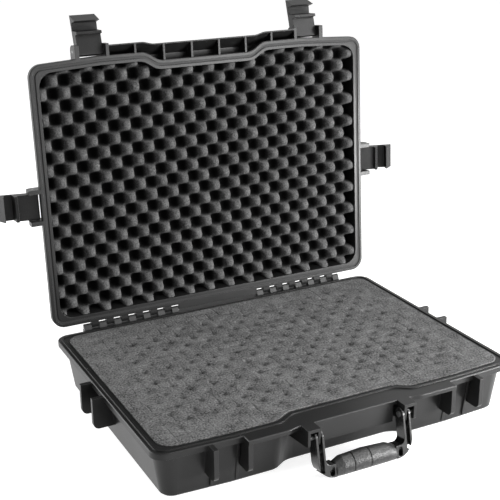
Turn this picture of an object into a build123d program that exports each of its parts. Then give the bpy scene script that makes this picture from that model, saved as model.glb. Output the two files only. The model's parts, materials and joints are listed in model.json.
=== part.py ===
from build123d import *
from math import atan, copysign, degrees
import os

# Laptop hard case with a foam-lined base and lid, four lever latches and a folding front handle.
# Frame: X to the right, the front is -Y, Z up. The base stands on z = 0 and the origin is under
# the middle of its rim. The lid and its latches are drawn closed and then swung open.
# All sizes are in millimetres and the angles in degrees.

# Rim outline, seen from above
case_length = 505.0
case_depth = 361.4
rim_corner_radius = 18.0
front_bow = 5.0
bow_from_side = 97.5
jog_outer_x = 90.0
jog_inner_x = 70.0
jog_radius = 22.0
recess_depth = 12.7

# Base
base_height = 68.0
band_height = 8.0
flange_width = 12.2
wall_top_inset = 7.5
wall_foot_inset = 16.0
wall_corner_radius = 24.0
wall = 3.5
floor = 4.0
foot_chamfer = 3.0
band_chamfer = 0.8
tongue_inset = 5.0
tongue_width = 2.6
tongue_height = 1.4

# Lid
parting_gap = 0.3
lid_height = 50.0
lid_band_height = 8.0
crown_inset = 13.0
crown_chamfer = 7.0
groove_clearance = 0.6
seal_thickness = 2.2
seal_gap = 0.2

# Shelf of the base and ribbed skirt of the lid, between the front latches
shelf_reach = 13.8
shelf_thickness = 5.5
shelf_jog_shift = 3.5
shelf_jog_outer_x = 92.0
shelf_jog_inner_x = 79.0
apron_foot_z = 40.0
apron_half_length = 53.0
apron_wall = 3.5
skirt_height = 20.0
skirt_slope_in = 16.0
skirt_wall = 1.6
rib_thickness = 3.0
ribs_each_side = 3

# Latches
latch_width = 35.0
latch_side_gap = 1.0
front_latch_from_side = 88.5
side_latch_y = 7.0
latch_pivot_out = 7.0
latch_pivot_up = 12.0
latch_length = 50.0
latch_head = 6.8
latch_head_radius = 6.0
latch_back = 3.2
latch_back_radius = 2.5
latch_outer_face = 10.0
latch_plate = 5.5
latch_open_angle = 104.6
side_right_open_angle = 70.0
hook_catch = 2.5
hook_gap = 0.5
hook_depth = 3.6
hook_heel = 8.0
finger_recess = 2.5
finger_lip = 11.6
finger_lip_depth = 8.2
finger_lip_root = 1.0
ear_thickness = 6.0
inner_ear_thickness = 4.5
ear_reach = 8.7
ear_rise = 8.3
latch_pin_radius = 1.75

# Guard fins beside the latches, and the beads between them
fin_thickness = 5.8
fin_side_gap = 1.2
front_fin_reach = 12.5
side_fin_reach = 15.0
fin_foot_z = 25.0
fin_top_drop = 1.5
fin_corner_radius = 8.0
bead_width = 3.2
bead_depth = 1.8
bead_foot_z = 5.0
bead_offset = 16.3

# Hinge
hinge_out = 5.8
hinge_up = 4.2
lid_open_angle = 93.8
hinge_pin_radius = 1.5
knuckle_radius = 3.3
knuckle_pitch = 11.1
knuckle_gap = 0.6
knuckles_per_strip = 13
strip_end_from_side = 44.0
knuckle_arm = 3.8
lid_arm_inset = 0.3
rear_plate_thickness = 3.6
rear_plate_reach = 7.3

# Handle and its brackets
cheek_thickness = 3.5
inner_cheek_x = 58.3
channel_width = 10.2
bracket_reach = 39.0
bracket_plate = 4.0
bracket_front_foot_z = 46.0
bracket_wall_foot_z = 40.0
bracket_corner_radius = 3.0
handle_pivot_out = 32.0
handle_pivot_z = 54.0
handle_hang_angle = 11.6
leg_length = 43.3
leg_depth = 17.0
inner_flange = 2.5
outer_flange = 2.6
inner_leg_gap = 0.7
outer_leg_gap = 1.4
leg_slot_length = 22.0
leg_web = 3.0
leg_foot = 8.0
handle_corner_radius = 22.0
handle_inner_radius = 7.0
tag_slot_width = 6.5
tag_slot_height = 12.0
tag_slot_gap = 2.5
grip_length = 84.0
grip_end_radius = 9.8
grip_shoulder_radius = 12.0
grip_shoulder_from_end = 10.0
grip_mid_radius = 12.8
grip_drop = 10.6
grip_core_radius = 5.5
grip_groove_depth = 0.9
grip_groove_width = 1.2
grip_groove_left_x = -18.5
grip_groove_right_x = 4.5
handle_pin_radius = 2.5
handle_pin_head_radius = 3.6
handle_pin_head = 1.3
handle_pin_bite = 1.5

# Foam
foam_clearance = 0.4
base_pad_thickness = 12.0
base_foam_rise = 1.5
lid_foam_gap = 0.7
pit_depth = 22.0
pit_half_pitch_x = 16.25
pit_half_pitch_y = 17.1
pit_start_x = -8.4
pit_start_y = -3.5
pit_share = 0.94
pit_border = 24.0

# Fits
pin_clearance = 0.05

os.makedirs("parts", exist_ok=True)

half_length = case_length / 2
half_depth = case_depth / 2
front_y = -half_depth - front_bow
recess_y = front_y + recess_depth
bow_x = half_length - bow_from_side
band_foot = base_height - band_height
lid_foot = base_height + parting_gap
lid_band_top = lid_foot + lid_band_height
lid_top = lid_foot + lid_height
lid_cavity_top = lid_top - floor

# How far the walls lean inwards for each millimetre of height
wall_slope = (wall_foot_inset - wall_top_inset) / band_foot
cavity_slope = (wall_foot_inset + wall - flange_width) / (base_height - floor)
lid_wall_slope = (crown_inset - wall_top_inset) / (lid_top - lid_band_top)
lid_cavity_slope = (crown_inset + wall - flange_width) / (lid_cavity_top - lid_foot)

# Latches and hinge
front_latch_x = half_length - front_latch_from_side
pivot_z = base_height + latch_pivot_up
bay_half = latch_width / 2 + latch_side_gap
fin_half = latch_width / 2 + fin_side_gap
hinge_y = half_depth + hinge_out
hinge_z = base_height + hinge_up
hinge_axis = Axis((0, hinge_y, hinge_z), (1, 0, 0))
strip_end_x = half_length - strip_end_from_side
strip_start_x = strip_end_x - knuckle_pitch * knuckles_per_strip

# Groove of the lid's seal, and the shelf's and the skirt's ends beside the front latches
groove_outer = tongue_inset - groove_clearance
groove_inner = tongue_inset + tongue_width + groove_clearance
groove_depth = tongue_height - parting_gap + seal_gap + seal_thickness
shelf_end = front_latch_x - fin_half
skirt_end = front_latch_x - bay_half

# Handle and its brackets
outer_cheek_x = inner_cheek_x + cheek_thickness + channel_width
bracket_end_x = outer_cheek_x + cheek_thickness
bracket_y = recess_y - bracket_reach
bracket_back_y = recess_y + flange_width
handle_pivot_y = recess_y - handle_pivot_out
slot_low_x = inner_cheek_x - inner_leg_gap
slot_high_x = inner_cheek_x + cheek_thickness + outer_leg_gap
leg_inner_x = slot_low_x - inner_flange
leg_outer_x = slot_high_x + outer_flange
grip_z = handle_pivot_z - leg_length
handle_foot_z = grip_z - leg_foot
handle_axis = Axis((0, handle_pivot_y, handle_pivot_z), (1, 0, 0))
half_grip = grip_length / 2
shoulder_x = half_grip - grip_shoulder_from_end

# Foam
foam_foot = base_height + base_foam_rise + lid_foam_gap
pad_top = floor + base_pad_thickness

# One plane per latch: its X runs along the rim, its -Y points out of the case
latch_stations = {
    "front_left": Plane(origin=(-front_latch_x, front_y, 0), x_dir=(1, 0, 0)),
    "front_right": Plane(origin=(front_latch_x, front_y, 0), x_dir=(1, 0, 0)),
    "side_left": Plane(origin=(-half_length, side_latch_y, 0), x_dir=(0, -1, 0)),
    "side_right": Plane(origin=(half_length, side_latch_y, 0), x_dir=(0, 1, 0)),
}


def case_plan(inset, corner_radius, height):
    """The rim's outline moved inwards by inset, with rounded corners, at a height."""
    jog_limit = (jog_outer_x + bow_x) / 2
    bow_limit = (bow_x + half_length) / 2
    right = [
        (jog_inner_x, recess_y),
        (jog_outer_x, front_y),
        (bow_x, front_y),
        (half_length, -half_depth),
        (half_length, half_depth),
    ]
    left = [(-x, y) for x, y in reversed(right)]
    with BuildSketch(Plane.XY.offset(height)) as plan:
        with BuildLine():
            Polyline(*right, *left, close=True)
        make_face()
        if inset:
            offset(amount=-inset, kind=Kind.INTERSECTION)
        corners = plan.vertices().filter_by(lambda v: abs(v.X) > bow_limit)
        fillet(corners, corner_radius)
        jogs = plan.vertices().filter_by(lambda v: abs(v.X) < jog_limit)
        fillet(jogs, jog_radius)
    return plan.sketch


def rim_plan(inset, height):
    """An outline that runs parallel to the rim, corners included."""
    return case_plan(inset, rim_corner_radius - inset, height)


def wall_plan(inset, height):
    """An outline that runs parallel to the walls, whose corners are rounder than the rim's."""
    return case_plan(inset, wall_corner_radius + wall_top_inset - inset, height)


def rim_ring(outer_inset, inner_inset, height):
    """A ring that follows the rim between two insets."""
    with BuildSketch(Plane.XY.offset(height)) as ring:
        add(rim_plan(outer_inset, 0))
        add(rim_plan(inner_inset, 0), mode=Mode.SUBTRACT)
    return ring.sketch


def leaning_block(inset, height, far_height, slope):
    """A block whose upright sides lean inwards from a plan of the walls to another height."""
    rise = far_height - height
    with BuildPart() as block:
        extrude(wall_plan(inset, height), amount=rise)
        sides = block.faces().filter_by(lambda f: abs(f.normal_at().Z) < 0.5)
        draft(sides, Plane.XY.offset(height), copysign(degrees(atan(slope)), rise))
    return block.part


def base_cavity(height, foot_height, clearance=0.0):
    """The inside of the base between two heights, drawn in by a clearance."""
    inset = flange_width + cavity_slope * (base_height - height) + clearance
    return leaning_block(inset, height, foot_height, cavity_slope)


def lid_cavity(height, clearance=0.0):
    """The inside of the closed lid above a height, drawn in by a clearance."""
    inset = flange_width + lid_cavity_slope * (height - lid_foot) + clearance
    return leaning_block(inset, height, lid_cavity_top, lid_cavity_slope)


def shelf_plan(reach, end_x, height):
    """A plan that stands out from the front rim by reach, and steps back in front of the handle."""
    outer_y = front_y - reach
    back_y = recess_y + wall_top_inset
    right = [
        (shelf_jog_inner_x, outer_y + shelf_jog_shift),
        (shelf_jog_outer_x, outer_y),
        (end_x, outer_y),
        (end_x, back_y),
    ]
    left = [(-x, y) for x, y in reversed(right)]
    with BuildSketch(Plane.XY.offset(height)) as plan:
        with BuildLine():
            Polyline(*right, *left, close=True)
        make_face()
        jogs = plan.vertices().filter_by(lambda v: abs(v.X) < (shelf_jog_outer_x + end_x) / 2)
        fillet(jogs, jog_radius)
    return plan.sketch


def across(station, x):
    """The upright plane that cuts a latch station at x along the rim: its X is the station's Y."""
    origin = station.from_local_coords((x, 0, 0))
    return Plane(origin=origin, x_dir=station.y_dir, z_dir=station.x_dir)


def rod(plane, y, z, radius, low_x, high_x, mode=Mode.ADD):
    """A round bar along a plane's X, with its axis at y and z."""
    with BuildSketch(across(plane, low_x)) as section:
        with Locations((y, z)):
            Circle(radius)
    extrude(section.sketch, amount=high_x - low_x, mode=mode)


def swing_open(piece):
    """Swings a piece of the closed lid open about the hinge."""
    return piece.rotate(hinge_axis, -lid_open_angle)


# The base: a leaning tub under a rim band, with shelf, guard fins, brackets and hinge knuckles
def add_fin(station, side, reach):
    """A guard fin beside a latch, rounded at its lower outer corner."""
    low_x = fin_half if side > 0 else -fin_half - fin_thickness
    high_z = base_height - fin_top_drop
    with BuildSketch(across(station, low_x)) as fin:
        with Locations((-reach, fin_foot_z)):
            Rectangle(reach + wall_foot_inset, high_z - fin_foot_z, align=(Align.MIN, Align.MIN))
        outer_foot = fin.vertices().group_by(Axis.Y)[0].sort_by(Axis.X)[0]
        fillet(outer_foot, fin_corner_radius)
    extrude(fin.sketch, amount=fin_thickness)


def add_bead(station, side):
    """An upright bead on the leaning wall between two fins."""
    with BuildSketch(across(station, side * bead_offset - bead_width / 2)) as bead:
        with BuildLine():
            Polyline(
                (wall_foot_inset, bead_foot_z),
                (wall_foot_inset - bead_depth, bead_foot_z),
                (wall_top_inset - bead_depth, band_foot),
                (wall_top_inset + wall, band_foot),
                close=True,
            )
        make_face()
    extrude(bead.sketch, amount=bead_width)


def knuckle_x(index):
    """The middle of a hinge knuckle, counted outwards along one strip."""
    return strip_start_x + knuckle_pitch * (index + 0.5)


def add_knuckles(first, low_z, high_z):
    """Every second knuckle of both strips, each on an arm from the rim between two heights."""
    width = knuckle_pitch - knuckle_gap
    for index in range(first, knuckles_per_strip, 2):
        for x in (knuckle_x(index), -knuckle_x(index)):
            with BuildSketch(Plane.YZ.offset(x - width / 2)) as knuckle:
                with Locations((half_depth + parting_gap, low_z)):
                    Rectangle(knuckle_arm, high_z - low_z, align=(Align.MIN, Align.MIN))
                with Locations((hinge_y, hinge_z)):
                    Circle(knuckle_radius)
                make_hull()
                with Locations((half_depth, (low_z + high_z) / 2)):
                    Rectangle(knuckle_arm, high_z - low_z)
            extrude(knuckle.sketch, amount=width)


def bore_knuckles():
    """The pin bores through both strips of knuckles."""
    for low_x in (strip_start_x, -strip_end_x):
        length = strip_end_x - strip_start_x
        rod(Plane.XY, hinge_y, hinge_z, hinge_pin_radius + pin_clearance, low_x, low_x + length,
            mode=Mode.SUBTRACT)


def add_bracket():
    """The right handle bracket: two cheeks under a plate that is flush with the rim."""
    for low_x in (inner_cheek_x, outer_cheek_x):
        with BuildSketch(Plane.YZ.offset(low_x)) as cheek:
            with BuildLine():
                Polyline(
                    (bracket_y, base_height),
                    (bracket_y, bracket_front_foot_z),
                    (bracket_back_y, bracket_wall_foot_z),
                    (bracket_back_y, base_height),
                    close=True,
                )
            make_face()
            front_foot = cheek.vertices().group_by(Axis.X)[0].sort_by(Axis.Y)[0]
            fillet(front_foot, bracket_corner_radius)
        extrude(cheek.sketch, amount=cheek_thickness)
    with BuildSketch(Plane.YZ.offset(inner_cheek_x)) as plate:
        with Locations((bracket_y, base_height - bracket_plate)):
            depth = bracket_back_y - bracket_y
            Rectangle(depth, bracket_plate, align=(Align.MIN, Align.MIN))
    extrude(plate.sketch, amount=bracket_end_x - inner_cheek_x)


with BuildPart() as base_guards:
    for name, station in latch_stations.items():
        for side in (-1, 1):
            add_fin(station, side, front_fin_reach if "front" in name else side_fin_reach)
            if "front" in name:
                add_bead(station, side)

with BuildPart() as base_brackets:
    add_bracket()
    mirror(about=Plane.YZ)

with BuildPart() as base_rim:
    extrude(rim_plan(0, band_foot), amount=band_height)
    shelf_foot = base_height - shelf_thickness
    extrude(shelf_plan(shelf_reach, shelf_end, shelf_foot), amount=shelf_thickness)
    with Locations((0, half_depth - wall_top_inset, band_foot)):
        Box(2 * strip_end_x, wall_top_inset + hinge_out + knuckle_radius, band_height,
            align=(Align.CENTER, Align.MIN, Align.MIN))
    chamfer(base_rim.faces().sort_by(Axis.Z)[-1].edges(), band_chamfer)

with BuildPart() as handle_apron:
    apron_y = front_y - shelf_reach + shelf_jog_shift
    with BuildSketch(Plane.XY.offset(apron_foot_z)) as apron_plan:
        with Locations((0, apron_y)):
            Rectangle(2 * apron_half_length, bracket_back_y - apron_y, align=(Align.CENTER, Align.MIN))
        with Locations((0, apron_y + apron_wall)):
            Rectangle(2 * (apron_half_length - apron_wall), bracket_back_y - apron_y,
                      align=(Align.CENTER, Align.MIN), mode=Mode.SUBTRACT)
    extrude(apron_plan.sketch, amount=shelf_foot - apron_foot_z)

base_tub = leaning_block(wall_top_inset, band_foot, 0, wall_slope)
base_hollow = base_cavity(base_height, floor)
with BuildPart() as base_shell:
    add(base_tub)
    chamfer(base_shell.faces().sort_by(Axis.Z)[0].edges(), foot_chamfer)
    add([base_rim.part, base_guards.part, base_brackets.part, handle_apron.part])
    add(base_hollow, mode=Mode.SUBTRACT)
    extrude(rim_ring(tongue_inset, tongue_inset + tongue_width, base_height), amount=tongue_height)
    add_knuckles(0, band_foot, base_height)
    bore_knuckles()
    pin_hole = handle_pin_radius + pin_clearance
    blind_end = outer_cheek_x + handle_pin_bite + 2 * pin_clearance
    rod(Plane.XY, handle_pivot_y, handle_pivot_z, pin_hole, inner_cheek_x, blind_end, Mode.SUBTRACT)
    rod(Plane.XY, handle_pivot_y, handle_pivot_z, pin_hole, -blind_end, -inner_cheek_x, Mode.SUBTRACT)


# The skirt along the lid's front: a sloping hollow form with ribs across it
def skirt_level(height, cut, end_x):
    """The skirt's plan at a height above its foot, cut back by a wall."""
    reach = shelf_reach - skirt_slope_in * height / skirt_height
    return shelf_plan(reach - cut, end_x, lid_foot + height)


with BuildPart() as skirt_form:
    loft([skirt_level(0, 0, skirt_end), skirt_level(skirt_height, 0, skirt_end)], ruled=True)

rib_spacing = 2 * skirt_end / (2 * ribs_each_side + 1)
with BuildPart() as skirt_ribs:
    for index in range(ribs_each_side):
        for x in ((index + 0.5) * rib_spacing, -(index + 0.5) * rib_spacing):
            with BuildSketch(Plane.YZ.offset(x - rib_thickness / 2)):
                with Locations((front_y - shelf_reach, lid_foot)):
                    Rectangle(shelf_reach + recess_depth, skirt_height, align=(Align.MIN, Align.MIN))
            extrude(amount=rib_thickness)
    add(skirt_form.part, mode=Mode.INTERSECT)

with BuildPart() as skirt:
    add(skirt_form.part)
    hollow_end = skirt_end - inner_ear_thickness
    hollow_height = skirt_height - skirt_wall
    hollow = [skirt_level(h, skirt_wall, hollow_end) for h in (0, hollow_height)]
    loft(hollow, ruled=True, mode=Mode.SUBTRACT)
    add(skirt_ribs.part)


def add_ear(station, low_x, thickness):
    """An ear that carries one end of a latch pin, rounded over the pin."""
    with BuildSketch(across(station, low_x)) as ear:
        with Locations((-latch_pivot_out - ear_reach, lid_foot)):
            width = latch_pivot_out + ear_reach + wall_top_inset + wall / 2
            Rectangle(width, pivot_z + ear_rise - lid_foot, align=(Align.MIN, Align.MIN))
        outer_top = ear.vertices().group_by(Axis.Y)[-1].sort_by(Axis.X)[0]
        fillet(outer_top, min(ear_reach, ear_rise))
    extrude(ear.sketch, amount=thickness)


def ear_thicknesses(name):
    """The thickness of the ears at the low and the high end of a latch pin."""
    low = inner_ear_thickness if name == "front_right" else ear_thickness
    high = inner_ear_thickness if name == "front_left" else ear_thickness
    return low, high


with BuildPart() as lid_rim:
    extrude(rim_plan(0, lid_foot), amount=lid_band_height)
    chamfer(lid_rim.faces().sort_by(Axis.Z)[0].edges(), band_chamfer)

lid_dome = leaning_block(wall_top_inset, lid_band_top, lid_top, lid_wall_slope)
lid_hollow = lid_cavity(lid_foot)
with BuildPart() as lid_shell:
    add(lid_dome)
    chamfer(lid_shell.faces().sort_by(Axis.Z)[-1].edges(), crown_chamfer)
    add([lid_rim.part, skirt.part])
    for name, station in latch_stations.items():
        low, high = ear_thicknesses(name)
        add_ear(station, -bay_half - low, low)
        add_ear(station, bay_half, high)
    with Locations((0, half_depth - band_chamfer, lid_foot)):
        Box(2 * strip_start_x - knuckle_gap, band_chamfer + rear_plate_reach, rear_plate_thickness,
            align=(Align.CENTER, Align.MIN, Align.MIN))
    add_knuckles(1, lid_foot + lid_arm_inset, lid_band_top - lid_arm_inset)
    add(lid_hollow, mode=Mode.SUBTRACT)
    extrude(rim_ring(groove_outer, groove_inner, lid_foot), amount=groove_depth, mode=Mode.SUBTRACT)
    bore_knuckles()
    for name, station in latch_stations.items():
        low, high = ear_thicknesses(name)
        rod(station, -latch_pivot_out, pivot_z, latch_pin_radius + pin_clearance,
            -bay_half - low, bay_half + high, Mode.SUBTRACT)
    add(swing_open(lid_shell.part), mode=Mode.REPLACE)

with BuildPart() as lid_seal:
    seal_foot = lid_foot + groove_depth - seal_thickness
    extrude(rim_ring(groove_outer, groove_inner, seal_foot), amount=seal_thickness)
    add(swing_open(lid_seal.part), mode=Mode.REPLACE)

# Foam of the lid, with pointed pits between its bumps, in the pattern of a chessboard
with BuildPart() as foam_pit:
    with BuildSketch(Plane.XY.offset(foam_foot)) as pit_mouth:
        Rectangle(pit_half_pitch_x * pit_share, pit_half_pitch_y * pit_share)
    loft([pit_mouth.sketch.face(), Vertex(0, 0, foam_foot + pit_depth)], ruled=True)


def pit_centres():
    """The middles of the pits that lie clear of the foam's edge."""
    limit_x = half_length - pit_border
    limit_y = half_depth - pit_border
    count_x = int(case_length / pit_half_pitch_x)
    count_y = int(case_depth / pit_half_pitch_y)
    centres = []
    for i in range(-count_x, count_x + 1):
        for j in range(-count_y, count_y + 1):
            x = pit_start_x + pit_half_pitch_x * i
            y = pit_start_y + pit_half_pitch_y * j
            if (i + j) % 2 == 1 and abs(x) < limit_x and recess_y + pit_border < y < limit_y:
                centres.append((x, y))
    return centres


lid_foam_block = lid_cavity(foam_foot, foam_clearance)
with BuildPart() as lid_foam:
    add(lid_foam_block)
    with Locations(*pit_centres()):
        add(foam_pit.part, mode=Mode.SUBTRACT)
    add(swing_open(lid_foam.part), mode=Mode.REPLACE)

# Foam of the base: a plain pad under the cubed sheet
base_pad_block = base_cavity(pad_top, floor, foam_clearance)
with BuildPart() as base_foam_pad:
    add(base_pad_block)

base_sheet_block = base_cavity(base_height, pad_top, foam_clearance)
with BuildPart() as base_foam_cubed:
    add(base_sheet_block)
    extrude(base_foam_cubed.faces().sort_by(Axis.Z)[-1], amount=base_foam_rise)


# Latches: a lever on a pin, drawn shut and swung open about the pin, then with the lid
def latch_lever(name, station):
    """A one-piece lever whose hook catches under the base's rim band."""
    hook_top = pivot_z - band_foot + hook_gap
    hook_tip = latch_pivot_out + hook_catch
    plate_inner = latch_plate - latch_outer_face
    lip_start = latch_length - finger_lip
    side_profile = [
        (-latch_head, latch_back),
        (-latch_head, -latch_outer_face),
        (latch_length, -latch_outer_face),
        (lip_start, finger_lip_depth),
        (lip_start, plate_inner - finger_lip_root),
        (hook_top + hook_heel, plate_inner - finger_recess),
        (hook_top + hook_depth, hook_tip),
        (hook_top, hook_tip),
        (hook_top, latch_back),
    ]
    with BuildPart() as lever:
        with BuildSketch(across(station, -latch_width / 2)) as side_view:
            with BuildLine():
                Polyline(
                    *[(t - latch_pivot_out, pivot_z - s) for s, t in side_profile], close=True
                )
            make_face()
            head = side_view.vertices().group_by(Axis.Y)[-1].sort_by(Axis.X)
            fillet(head[0], latch_head_radius)
            head = side_view.vertices().group_by(Axis.Y)[-1].sort_by(Axis.X)
            fillet(head[-1], latch_back_radius)
        extrude(side_view.sketch, amount=latch_width)
        bore = latch_pin_radius + pin_clearance
        rod(station, -latch_pivot_out, pivot_z, bore, -latch_width / 2, latch_width / 2, Mode.SUBTRACT)
        pin_axis = Axis(station.from_local_coords((0, -latch_pivot_out, pivot_z)), station.x_dir)
        open_angle = side_right_open_angle if name == "side_right" else latch_open_angle
        add(swing_open(lever.part.rotate(pin_axis, -open_angle)), mode=Mode.REPLACE)
    return lever.part


def latch_pin(name, station):
    """The pin through a latch and its two ears."""
    low, high = ear_thicknesses(name)
    with BuildPart() as pin:
        rod(station, -latch_pivot_out, pivot_z, latch_pin_radius, -bay_half - low, bay_half + high)
        add(swing_open(pin.part), mode=Mode.REPLACE)
    return pin.part


# Handle: a moulded frame with channelled legs, and a crowned grip on its core
def hang(piece):
    """Turns a piece of the handle from straight down to where it hangs."""
    return piece.rotate(handle_axis, -handle_hang_angle)


with BuildPart() as handle_frame:
    with BuildSketch(Plane.XZ.offset(-handle_pivot_y - leg_depth / 2)) as outline:
        with BuildLine():
            Polyline(
                (leg_outer_x, handle_pivot_z),
                (leg_outer_x, handle_foot_z),
                (grip_length / 2, handle_foot_z),
                (grip_length / 2, grip_z + leg_foot),
                (leg_inner_x, grip_z + leg_foot),
                (leg_inner_x, handle_pivot_z),
                close=True,
            )
        make_face()
        outer_foot = outline.vertices().group_by(Axis.Y)[0].sort_by(Axis.X)[-1]
        fillet(outer_foot, handle_corner_radius)
        inner_foot = outline.vertices().sort_by_distance((leg_inner_x, grip_z + leg_foot))[0]
        fillet(inner_foot, handle_inner_radius)
    extrude(amount=leg_depth)
    rod(Plane.XY, handle_pivot_y, handle_pivot_z, leg_depth / 2, leg_inner_x, leg_outer_x)
    slot_width = slot_high_x - slot_low_x
    with Locations((slot_low_x, handle_pivot_y, handle_pivot_z - leg_slot_length)):
        Box(slot_width, leg_depth, leg_slot_length + leg_depth,
            align=(Align.MIN, Align.CENTER, Align.MIN), mode=Mode.SUBTRACT)
    channel_depth = (leg_depth - leg_web) / 2
    channel_top = handle_pivot_z - leg_slot_length
    for low_y in (handle_pivot_y - leg_depth / 2, handle_pivot_y + leg_web / 2):
        with Locations((slot_low_x, low_y, grip_z)):
            Box(slot_width, channel_depth, channel_top - grip_z,
                align=(Align.MIN, Align.MIN, Align.MIN), mode=Mode.SUBTRACT)
    with BuildSketch(Plane.XZ.offset(-handle_pivot_y - leg_depth / 2)):
        with Locations((grip_length / 2 + tag_slot_gap + tag_slot_width / 2, grip_z)):
            SlotOverall(tag_slot_height, tag_slot_width, rotation=90)
    extrude(amount=leg_depth, mode=Mode.SUBTRACT)
    mirror(about=Plane.YZ)
    rod(Plane.XY, handle_pivot_y, grip_z, grip_core_radius, -grip_length / 2, grip_length / 2)
    bore = handle_pin_radius + pin_clearance
    for low_x in (leg_inner_x, -leg_outer_x):
        high_x = low_x + leg_outer_x - leg_inner_x
        rod(Plane.XY, handle_pivot_y, handle_pivot_z, bore, low_x, high_x, Mode.SUBTRACT)
    add(hang(handle_frame.part), mode=Mode.REPLACE)

def cut_grip_groove(middle_x):
    """A ring groove round the grip between its shoulders."""
    radius = grip_mid_radius - (grip_mid_radius - grip_shoulder_radius) * abs(middle_x) / shoulder_x
    with BuildSketch(Plane.YZ.offset(middle_x - grip_groove_width / 2)) as groove:
        with Locations((handle_pivot_y, grip_z - grip_drop + radius)):
            Circle(2 * radius)
            Circle(radius - grip_groove_depth, mode=Mode.SUBTRACT)
    extrude(groove.sketch, amount=grip_groove_width, mode=Mode.SUBTRACT)


def grip_length_between(low_x, high_x, low_radius, high_radius):
    """A tapered length of the grip, whose underside keeps level."""
    sections = []
    for x, radius in ((low_x, low_radius), (high_x, high_radius)):
        with BuildSketch(Plane.YZ.offset(x)) as section:
            with Locations((handle_pivot_y, grip_z - grip_drop + radius)):
                Circle(radius)
        sections.append(section.sketch.face())
    loft(sections, ruled=True)


with BuildPart() as handle_grip:
    grip_length_between(-half_grip, -shoulder_x, grip_end_radius, grip_shoulder_radius)
    grip_length_between(-shoulder_x, 0, grip_shoulder_radius, grip_mid_radius)
    grip_length_between(0, shoulder_x, grip_mid_radius, grip_shoulder_radius)
    grip_length_between(shoulder_x, half_grip, grip_shoulder_radius, grip_end_radius)
    cut_grip_groove(grip_groove_left_x)
    cut_grip_groove(grip_groove_right_x)
    rod(Plane.XY, handle_pivot_y, grip_z, grip_core_radius, -half_grip, half_grip, Mode.SUBTRACT)
    add(hang(handle_grip.part), mode=Mode.REPLACE)


def handle_pin(side):
    """A headed pin from inside the handle's leg to the bracket's outer cheek."""
    plane = Plane.XY if side > 0 else Plane(origin=(0, 0, 0), x_dir=(-1, 0, 0))
    y = handle_pivot_y * side
    with BuildPart() as pin:
        rod(plane, y, handle_pivot_z, handle_pin_head_radius, leg_inner_x - handle_pin_head, leg_inner_x)
        rod(plane, y, handle_pivot_z, handle_pin_radius, leg_inner_x, outer_cheek_x + handle_pin_bite)
    return pin.part


def hinge_pin(low_x):
    """A pin as long as a strip of knuckles."""
    with BuildPart() as pin:
        rod(Plane.XY, hinge_y, hinge_z, hinge_pin_radius, low_x, low_x + strip_end_x - strip_start_x)
    return pin.part


base_shell.part.label = "base_shell"
export_step(base_shell.part, "parts/base_shell.step")
lid_shell.part.label = "lid_shell"
export_step(lid_shell.part, "parts/lid_shell.step")
lid_seal.part.label = "lid_seal"
export_step(lid_seal.part, "parts/lid_seal.step")
lid_foam.part.label = "lid_foam"
export_step(lid_foam.part, "parts/lid_foam.step")
base_foam_pad.part.label = "base_foam_pad"
export_step(base_foam_pad.part, "parts/base_foam_pad.step")
base_foam_cubed.part.label = "base_foam_cubed"
export_step(base_foam_cubed.part, "parts/base_foam_cubed.step")
handle_frame.part.label = "handle_frame"
export_step(handle_frame.part, "parts/handle_frame.step")
handle_grip.part.label = "handle_grip"
export_step(handle_grip.part, "parts/handle_grip.step")

small_pieces = {
    "handle_pin_left": handle_pin(-1),
    "handle_pin_right": handle_pin(1),
    "hinge_pin_left": hinge_pin(-strip_end_x),
    "hinge_pin_right": hinge_pin(strip_start_x),
}
for name, station in latch_stations.items():
    small_pieces[f"latch_{name}"] = latch_lever(name, station)
    small_pieces[f"latch_pin_{name}"] = latch_pin(name, station)
for name, piece in small_pieces.items():
    piece.label = name
    export_step(piece, f"parts/{name}.step")
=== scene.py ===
"""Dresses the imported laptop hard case: materials, shaped foam, camera, floor and light.

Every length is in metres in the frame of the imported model.
"""

import functools
import json
import math
import random

import bmesh
import bpy
from mathutils import Matrix, Vector


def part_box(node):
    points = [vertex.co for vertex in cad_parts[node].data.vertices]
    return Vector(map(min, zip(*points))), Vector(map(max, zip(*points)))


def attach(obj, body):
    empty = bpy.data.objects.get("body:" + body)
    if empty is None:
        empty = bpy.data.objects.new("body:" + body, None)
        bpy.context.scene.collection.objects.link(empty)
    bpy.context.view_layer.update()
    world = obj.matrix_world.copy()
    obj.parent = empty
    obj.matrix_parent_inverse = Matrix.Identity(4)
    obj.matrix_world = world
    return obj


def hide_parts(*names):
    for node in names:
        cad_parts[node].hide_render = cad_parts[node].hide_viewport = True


MM = 0.001
white = (1, 1, 1, 1)
shader_node = "Principled BSDF"

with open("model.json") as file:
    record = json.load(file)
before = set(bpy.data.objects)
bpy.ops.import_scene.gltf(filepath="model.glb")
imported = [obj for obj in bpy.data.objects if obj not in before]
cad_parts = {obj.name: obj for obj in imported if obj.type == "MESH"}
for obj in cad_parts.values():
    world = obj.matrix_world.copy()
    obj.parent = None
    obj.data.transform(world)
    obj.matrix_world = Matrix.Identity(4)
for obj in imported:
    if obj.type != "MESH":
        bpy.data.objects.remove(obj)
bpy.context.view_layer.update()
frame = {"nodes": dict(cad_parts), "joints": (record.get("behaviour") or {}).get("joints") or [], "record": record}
nodes = frame["nodes"]


# ---------------------------------------------------------------- the hinge and the closed lid
hinge = next(joint for joint in frame["joints"] if joint["name"] == "lid_hinge")
hinge_point = Vector(hinge["pos_m"])
lid_open_angle = math.radians(hinge["range_deg"][1])
open_lid = (
    Matrix.Translation(hinge_point)
    @ Matrix.Rotation(-lid_open_angle, 4, Vector(hinge["axis"]))
    @ Matrix.Translation(-hinge_point)
)
close_lid = open_lid.inverted()


# ---------------------------------------------------------------- materials
patch_share = 0.35  # how much the broad patches count beside the fine grain
dark_until, light_from = 0.45, 0.9  # the grain's levels that get the two colours
gloss_swing = 0.05
edge_samples = 4


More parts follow.
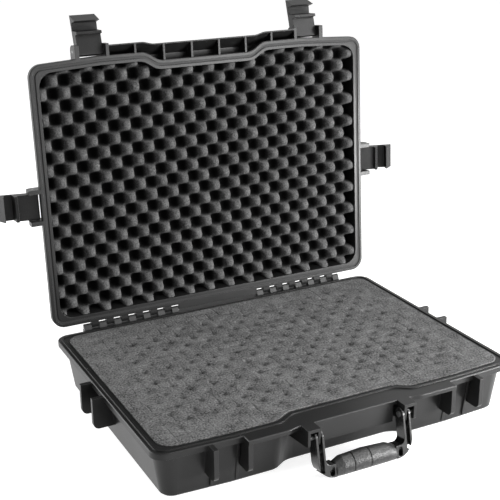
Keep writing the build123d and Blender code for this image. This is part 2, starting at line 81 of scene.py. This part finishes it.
def new_material(name):
    """A material with its node tree, its shader and a function that adds and sets a node."""
    material = bpy.data.materials.new(name)
    material.use_nodes = True
    tree = material.node_tree
    shader = tree.nodes[shader_node]

    def node(kind, **inputs):
        made = tree.nodes.new(kind)
        for key, value in inputs.items():
            made.inputs[key.replace("_", " ")].default_value = value
        return made

    return material, tree.links, shader, node


def grained(name, dark, light, roughness, specular, grain, depth, patch=14.0, edge=0.0):
    """A moulded or foamed material: fine grain in colour and bump, broad patches in tone and gloss.

    grain and patch are noise scales. depth and edge are the grain's depth and the edges' rounding.
    """
    material, links, shader, node = new_material(name)
    place = node("ShaderNodeTexCoord")
    fine = node("ShaderNodeTexNoise", Scale=grain, Detail=3.0, Roughness=0.6)
    broad = node("ShaderNodeTexNoise", Scale=patch, Detail=2.0, Roughness=0.5)
    links.new(place.outputs["Object"], fine.inputs["Vector"])
    links.new(place.outputs["Object"], broad.inputs["Vector"])
    blend = node("ShaderNodeMath")
    blend.operation = "MULTIPLY_ADD"
    blend.inputs[1].default_value = patch_share
    links.new(broad.outputs["Fac"], blend.inputs[0])
    links.new(fine.outputs["Fac"], blend.inputs[2])
    tone = node("ShaderNodeValToRGB")
    tone.color_ramp.elements[0].position = dark_until
    tone.color_ramp.elements[0].color = (*dark, 1)
    tone.color_ramp.elements[1].position = light_from
    tone.color_ramp.elements[1].color = (*light, 1)
    links.new(blend.outputs["Value"], tone.inputs["Fac"])
    links.new(tone.outputs["Color"], shader.inputs["Base Color"])
    gloss = node("ShaderNodeMapRange")
    gloss.inputs["To Min"].default_value = roughness - gloss_swing
    gloss.inputs["To Max"].default_value = roughness + gloss_swing
    links.new(broad.outputs["Fac"], gloss.inputs["Value"])
    links.new(gloss.outputs["Result"], shader.inputs["Roughness"])
    shader.inputs["Specular IOR Level"].default_value = specular
    bump = node("ShaderNodeBump", Strength=1.0, Distance=depth)
    links.new(fine.outputs["Fac"], bump.inputs["Height"])
    if edge:
        rounding = node("ShaderNodeBevel", Radius=edge)
        rounding.samples = edge_samples
        links.new(rounding.outputs["Normal"], bump.inputs["Normal"])
    links.new(bump.outputs["Normal"], shader.inputs["Normal"])
    return material


def grey(value):
    """A neutral grey."""
    return (value, value, value)


def moulded(name, dark, light, **settings):
    """A grained material between two neutral greys."""
    return grained(name, grey(dark), grey(light), **settings)


shell_plastic = moulded(
    "shell_plastic", 0.005, 0.011,
    roughness=0.34, specular=0.25, grain=1500.0, depth=0.04 * MM, edge=0.8 * MM,
)
latch_plastic = moulded(
    "latch_plastic", 0.003, 0.009,
    roughness=0.40, specular=0.2, grain=700.0, depth=0.10 * MM, patch=60.0, edge=0.8 * MM,
)
handle_plastic = moulded(
    "handle_plastic", 0.004, 0.008,
    roughness=0.20, specular=0.5, grain=1200.0, depth=0.02 * MM, edge=1.0 * MM,
)
grip_rubber = moulded(
    "grip_rubber", 0.008, 0.024,
    roughness=0.40, specular=0.3, grain=380.0, depth=0.7 * MM, patch=90.0, edge=2.0 * MM,
)
seal_rubber = moulded(
    "seal_rubber", 0.006, 0.010,
    roughness=0.6, specular=0.3, grain=1500.0, depth=0.03 * MM,
)


def foamed(name, dark, light, grain, shades):
    """An open-celled foam whose colour is darkened by the depth stored on its mesh: painted shade.

    shades holds (depth, tone) pairs, both from 0 to 1: how much painted shade each depth gets.
    """
    material = moulded(
        name, dark, light,
        roughness=0.95, specular=0.08, grain=grain, depth=0.7 * MM, patch=45.0,
    )
    tree = material.node_tree
    shader = tree.nodes[shader_node]
    depth = tree.nodes.new("ShaderNodeAttribute")
    depth.attribute_name = "depth"
    # Painted shade: the colour is darkened by how deep the place lies.
    shade = tree.nodes.new("ShaderNodeFloatCurve")
    curve = shade.mapping.curves[0]
    for point, place in zip((curve.points[0], curve.points[-1]), (shades[0], shades[-1])):
        point.location = place
    for place in shades[1:-1]:
        curve.points.new(*place)
    shade.mapping.update()
    tree.links.new(depth.outputs["Fac"], shade.inputs["Value"])
    tone = tree.nodes.new("ShaderNodeHueSaturation")
    tree.links.new(shader.inputs["Base Color"].links[0].from_socket, tone.inputs["Color"])
    tree.links.new(shade.outputs["Value"], tone.inputs["Value"])
    tree.links.new(tone.outputs["Color"], shader.inputs["Base Color"])
    return material


# Painted shade in the lid foam's pits: the colour falls to a fiftieth at their bottom.
lid_foam_with_painted_shade = foamed(
    "lid_foam_cells_and_painted_shade", 0.024, 0.108, grain=520.0,
    shades=[(0.0, 1.0), (0.28, 0.95), (0.5, 0.45), (0.68, 0.12), (1.0, 0.02)],
)
# Painted shade in the base foam's dents and cuts: the colour falls to about a third at a full dimple's depth below
# the top.
base_foam_with_painted_shade = foamed(
    "base_foam_cells_and_painted_shade", 0.014, 0.17, grain=430.0,
    shades=[(0.0, 1.0), (0.4, 0.75), (1.0, 0.35)],
)

pin_steel = moulded(
    "pin_steel", 0.20, 0.30,
    roughness=0.35, specular=0.5, grain=700.0, depth=0.01 * MM,
)
pin_steel.node_tree.nodes[shader_node].inputs["Metallic"].default_value = 1.0

finishes = {
    "shell": shell_plastic,
    "latch": latch_plastic,
    "handle": handle_plastic,
    "grip": grip_rubber,
    "seal": seal_rubber,
    "pin": pin_steel,
    "lid_foam": lid_foam_with_painted_shade,
    "base_foam": base_foam_with_painted_shade,
}


def coat(piece, material):
    """Gives a piece one material in place of what it has."""
    piece.data.materials.clear()
    piece.data.materials.append(material)


for part in frame["record"]["subparts"]:
    coat(nodes[part["node"]], finishes[part["material_slot"]])


# ---------------------------------------------------------------- foam
weld_distance = 0.001 * MM
near = 0.01 * MM  # how far apart two heights may be and still count as one
skin = 0.05 * MM  # how far the shaped foam stays inside its solid's face
cut_margin = 5 * MM  # how far a block reaches past the outline that cuts it


def solid_copy(node, name):
    """A CAD node's own shape as a new closed mesh."""
    copy = bpy.data.objects.new(name, nodes[node].data.copy())
    bpy.context.scene.collection.objects.link(copy)
    mesh = bmesh.new()
    mesh.from_mesh(copy.data)
    bmesh.ops.remove_doubles(mesh, verts=mesh.verts, dist=weld_distance)
    mesh.to_mesh(copy.data)
    mesh.free()
    return copy


def close_pits(shape, face_z, pit_depth):
    """Takes the pits out of a solid's flat lower face, and fills that face again."""
    mesh = bmesh.new()
    mesh.from_mesh(shape.data)

    def delete(found, context):
        bmesh.ops.delete(mesh, geom=found, context=context)

    def is_flat(face):
        return all(abs(vertex.co.z - face_z) < near for vertex in face.verts)

    def is_tip(vertex):
        return abs(vertex.co.z - face_z - pit_depth) < near

    delete([vertex for vertex in mesh.verts if is_tip(vertex)], "VERTS")
    delete([face for face in mesh.faces if is_flat(face)], "FACES_ONLY")
    delete([edge for edge in mesh.edges if not edge.link_faces], "EDGES")
    delete([vertex for vertex in mesh.verts if not vertex.link_faces], "VERTS")
    open_edges = [edge for edge in mesh.edges if len(edge.link_faces) == 1]
    bmesh.ops.triangle_fill(mesh, use_beauty=True, edges=open_edges)
    bmesh.ops.recalc_face_normals(mesh, faces=mesh.faces)
    mesh.to_mesh(shape.data)
    mesh.free()


def mark_depth(piece, depth_of):
    """Stores on each vertex how deep it lies below the foam's face, from 0 to 1, for the painted shade in its
    colour.
    """
    stored = piece.data.attributes.new("depth", "FLOAT", "POINT")
    for vertex, value in zip(piece.data.vertices, stored.data):
        value.value = min(1.0, max(0.0, depth_of(vertex.co)))


def relief_block(name, columns, rows, height_at, back_z):
    """A closed block over columns of x and rows of y.

    One side follows height_at, the other is flat at back_z.
    """
    mesh = bmesh.new()
    face_side = [[mesh.verts.new((x, y, height_at(x, y))) for x in columns] for y in rows]
    back_side = [[mesh.verts.new((x, y, back_z)) for x in columns] for y in rows]
    for side in (face_side, back_side):
        for low, high in zip(side, side[1:]):
            for i in range(len(columns) - 1):
                mesh.faces.new((low[i], low[i + 1], high[i + 1], high[i]))
    for i in range(len(columns) - 1):
        for j in (0, -1):
            front, back = face_side[j], back_side[j]
            mesh.faces.new((front[i], front[i + 1], back[i + 1], back[i]))
    for j in range(len(rows) - 1):
        for i in (0, -1):
            face_edge = face_side[j][i], face_side[j + 1][i]
            back_edge = back_side[j + 1][i], back_side[j][i]
            mesh.faces.new((*face_edge, *back_edge))
    bmesh.ops.recalc_face_normals(mesh, faces=mesh.faces)
    block = bpy.data.objects.new(name, bpy.data.meshes.new(name))
    mesh.to_mesh(block.data)
    mesh.free()
    bpy.context.scene.collection.objects.link(block)
    return block


def cut_to(block, outline):
    """Keeps what of the block lies inside the outline's closed mesh, and removes the outline."""
    modifier = block.modifiers.new("outline", "BOOLEAN")
    modifier.operation = "INTERSECT"
    modifier.solver = "EXACT"
    modifier.object = outline
    evaluated = block.evaluated_get(bpy.context.evaluated_depsgraph_get())
    shaped = bpy.data.meshes.new_from_object(evaluated)
    block.modifiers.clear()
    block.data = shaped
    bpy.data.objects.remove(outline)


def spaced(low, high, step):
    """Even stations from just outside low to just outside high."""
    count = math.ceil((high - low) / step) + 2
    return [low - step / 2 + i * step for i in range(count)]


def corners(piece):
    """The low and the high corner of a piece's own mesh."""
    places = [vertex.co for vertex in piece.data.vertices]
    return tuple(Vector(map(pick, zip(*places))) for pick in (min, max))


# The lid's convoluted sheet, measured with the lid closed. Bumps and pits take turns at every
# half pitch.
bump_half_x = 16.25 * MM
bump_half_y = 17.1 * MM
bump_depth = 21 * MM
pit_depth = 22 * MM
bump_shift_x = -8.4 * MM
bump_shift_y = -3.5 * MM
bump_steepness = 0.66
bump_power = 0.70
bump_samples = 6


def egg_crate(x, y):
    """How far below the tips the foam lies at a place, as a share of the bumps' depth."""
    wave = math.cos(math.pi * (x - bump_shift_x) / bump_half_x)
    wave *= math.cos(math.pi * (y - bump_shift_y) / bump_half_y)
    share = 0.5 - bump_steepness * math.copysign(abs(wave) ** bump_power, wave)
    return min(1.0, max(0.0, share))


lid_foam_outline = solid_copy("lid_foam", "lid_foam_outline")
lid_foam_outline.data.transform(close_lid)
low, high = corners(lid_foam_outline)
foam_face_z = low.z
close_pits(lid_foam_outline, foam_face_z, pit_depth)
lid_foam_outline.data.transform(open_lid)


def bump_height(x, y):
    """The height of the closed lid's foam face at a place."""
    return foam_face_z + skin + bump_depth * egg_crate(x, y)


def bump_shade(place):
    """How deep a place on the open lid's foam lies, as a share of the bumps' depth, for the painted shade in its
    pits.
    """
    return ((close_lid @ place).z - foam_face_z) / bump_depth


convoluted = relief_block(
    "lid_foam_convoluted",
    spaced(low.x, high.x, bump_half_x / bump_samples),
    spaced(low.y, high.y, bump_half_y / bump_samples),
    bump_height,
    high.z + cut_margin,
)
convoluted.data.transform(open_lid)
cut_to(convoluted, lid_foam_outline)
# The depth gives the pits their painted shade.
mark_depth(convoluted, bump_shade)
convoluted.data.shade_smooth()
coat(convoluted, lid_foam_with_painted_shade)
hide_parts("lid_foam")
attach(convoluted, "lid")

# The base's cubed foam: cuts on every line of a lattice, and a dimple at every second crossing.
dimple_half_x = 16.3 * MM
dimple_half_y = 17.1 * MM
dimple_shift_x = -4.6 * MM
dimple_shift_y = 0.5 * MM
dimple_radius = 4.2 * MM
dimple_depth = 3.0 * MM
dimple_border = 25 * MM
dimple_fade = 50 * MM
dimple_least = 0.35
dimple_uneven = (0.6, 1.0)
cut_width = 0.6 * MM
cut_depth = 1.0 * MM
cut_rarity = 3
cell_samples = 7

low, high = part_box("base_foam_cubed")
foam_top_z = high.z
foam_half_x = high.x
foam_half_y = (high.y - low.y) / 2
foam_middle_y = (low.y + high.y) / 2
dimple_chance = random.Random(7)


def lattice(value, shift, half):
    """The nearest lattice line's number and the distance to it."""
    number = round((value - shift) / half)
    return number, value - shift - number * half


@functools.cache
def dimple_strength(column, row):
    """How deep one dimple is, as a share of the full depth.

    None lies at the border, and further in they are uneven.
    """
    if (column + row) % 2:
        return 0.0
    x = dimple_shift_x + column * dimple_half_x
    y = dimple_shift_y + row * dimple_half_y
    inward = min(foam_half_x - abs(x), foam_half_y - abs(y - foam_middle_y)) - dimple_border
    if inward < 0:
        return 0.0
    return min(1.0, dimple_least + inward / dimple_fade) * dimple_chance.uniform(*dimple_uneven)


@functools.cache
def cut_strength(direction, column, row):
    """How far one cut gapes, as a share of the full depth: most stay nearly shut."""
    return random.Random(f"{direction} {column} {row}").random() ** cut_rarity


def cubed_top(x, y):
    """The height of the cubed foam's top: scored into cubes, with dents where the lid presses."""
    column, dx = lattice(x, dimple_shift_x, dimple_half_x)
    row, dy = lattice(y, dimple_shift_y, dimple_half_y)
    falloff = math.exp(-(dx * dx + dy * dy) / dimple_radius**2)
    drop = dimple_depth * dimple_strength(column, row) * falloff
    column_past = math.floor((x - dimple_shift_x) / dimple_half_x)
    row_past = math.floor((y - dimple_shift_y) / dimple_half_y)
    gape_x = cut_strength("x", column, row_past) * max(0.0, 1 - abs(dx) / cut_width)
    gape_y = cut_strength("y", column_past, row) * max(0.0, 1 - abs(dy) / cut_width)
    return foam_top_z - skin - drop - cut_depth * max(gape_x, gape_y)


def dent_shade(place):
    """How deep a place near the cubed foam's top lies, as a share of a dimple's depth, for the painted shade in
    its dents and cuts.
    """
    if place.z <= foam_top_z - 2 * dimple_depth:
        return 0.0
    return (foam_top_z - skin - place.z) / dimple_depth


def scored(low_edge, high_edge, shift, half):
    """Stations that hold each cut's middle and both edges, and even ones between the cuts."""
    first = math.floor((low_edge - shift) / half) - 1
    last = math.ceil((high_edge - shift) / half) + 1
    places = []
    for number in range(first, last):
        middle = shift + number * half
        places += [middle - cut_width, middle, middle + cut_width]
        places += [middle + half * i / cell_samples for i in range(1, cell_samples)]
    return sorted(places)


base_foam_outline = solid_copy("base_foam_cubed", "base_foam_outline")
cubed = relief_block(
    "base_foam_scored",
    scored(low.x, high.x, dimple_shift_x, dimple_half_x),
    scored(low.y, high.y, dimple_shift_y, dimple_half_y),
    cubed_top,
    low.z - cut_margin,
)
cut_to(cubed, base_foam_outline)
# The depth gives the dents and cuts their painted shade.
mark_depth(cubed, dent_shade)
cubed.data.shade_smooth()
coat(cubed, base_foam_with_painted_shade)
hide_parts("base_foam_cubed")
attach(cubed, "base")


# ---------------------------------------------------------------- camera
# The place in metres and the angles in radians, fitted to the case's straight edges.
camera_place = Vector((-0.62112, -1.14106, 0.67542))
camera_yaw = -0.4710916
camera_pitch = 0.3443064
camera_roll = -0.0103381
focal_pixels = 1063.556
image_pixels = 500
sensor_width = 36.0

camera_data = bpy.data.cameras.new("camera")
camera_data.sensor_width = sensor_width
camera_data.lens = sensor_width * focal_pixels / image_pixels
camera = bpy.data.objects.new("camera", camera_data)
camera.matrix_world = (
    Matrix.Translation(camera_place)
    @ Matrix.Rotation(camera_yaw, 4, "Z")
    @ Matrix.Rotation(math.pi / 2 - camera_pitch, 4, "X")
    @ Matrix.Rotation(camera_roll, 4, "Z")
)
bpy.context.scene.collection.objects.link(camera)
bpy.context.scene.camera = camera


# ---------------------------------------------------------------- floor, world and light
def seen_directly(links, node):
    """One for what the camera sees, also through glass or in a gloss."""
    path = node("ShaderNodeLightPath")
    total = path.outputs["Is Camera Ray"]
    for name in ("Is Glossy Ray", "Is Transmission Ray"):
        add = node("ShaderNodeMath")
        add.operation = "MAXIMUM"
        links.new(total, add.inputs[0])
        links.new(path.outputs[name], add.inputs[1])
        total = add.outputs["Value"]
    return total


floor_size = 12.0
floor_drop = 0.2 * MM
floor_grey = 0.6
floor_lift = 0.80  # white added for what the camera sees, so that only a faint shadow stays
ambient = 0.32  # how much of the white world lights the object
floor_material, links, shader, node = new_material("floor_white")
shader.inputs["Base Color"].default_value = (*grey(floor_grey), 1)
shader.inputs["Roughness"].default_value = 0.9
shader.inputs["Specular IOR Level"].default_value = 0.1
shader.inputs["Emission Color"].default_value = white
lift = node("ShaderNodeMath")
lift.operation = "MULTIPLY"
lift.inputs[1].default_value = floor_lift
links.new(seen_directly(links, node), lift.inputs[0])
links.new(lift.outputs["Value"], shader.inputs["Emission Strength"])
mesh = bmesh.new()
bmesh.ops.create_grid(mesh, x_segments=4, y_segments=4, size=floor_size / 2)
floor = bpy.data.objects.new("floor", bpy.data.meshes.new("floor"))
mesh.to_mesh(floor.data)
mesh.free()
floor.location.z = -floor_drop
floor.data.materials.append(floor_material)
bpy.context.scene.collection.objects.link(floor)

world = bpy.data.worlds.new("studio")
world.use_nodes = True
bpy.context.scene.world = world
tree = world.node_tree
background = tree.nodes["Background"]
background.inputs["Color"].default_value = white


def world_node(kind):
    """A new node in the world's tree."""
    return tree.nodes.new(kind)


level = world_node("ShaderNodeMapRange")
level.inputs["To Min"].default_value = ambient
level.inputs["To Max"].default_value = 1.0
tree.links.new(seen_directly(tree.links, world_node), level.inputs["Value"])
tree.links.new(level.outputs["Result"], background.inputs["Strength"])


def softbox(name, place, target, width, height, power):
    """A rectangular lamp that faces a point: sizes in metres, power in watts."""
    data = bpy.data.lights.new(name, "AREA")
    data.shape = "RECTANGLE"
    data.size = width
    data.size_y = height
    data.energy = power
    lamp = bpy.data.objects.new(name, data)
    lamp.location = place
    lamp.rotation_euler = (Vector(target) - Vector(place)).to_track_quat("-Z", "Y").to_euler()
    lamp.visible_camera = False
    bpy.context.scene.collection.objects.link(lamp)


softbox("overhead", (0.6, -0.3, 1.7), (0.0, 0.0, 0.1), 1.4, 1.2, 19.0)
softbox("right_high", (0.95, -0.60, 0.95), (0.20, -0.1, 0.05), 0.5, 0.5, 14.0)
softbox("right_front", (0.66, -0.76, 0.13), (0.22, -0.2, 0.04), 0.4, 0.22, 22.0)
softbox("front", (0.50, -1.05, 0.42), (0.0, 0.2, 0.35), 0.8, 0.5, 6.5)
softbox("left_rear", (-1.3, 0.9, 0.5), (-0.2, 0.0, 0.05), 1.2, 0.9, 22.0)

bpy.context.scene.view_settings.view_transform = "Standard"
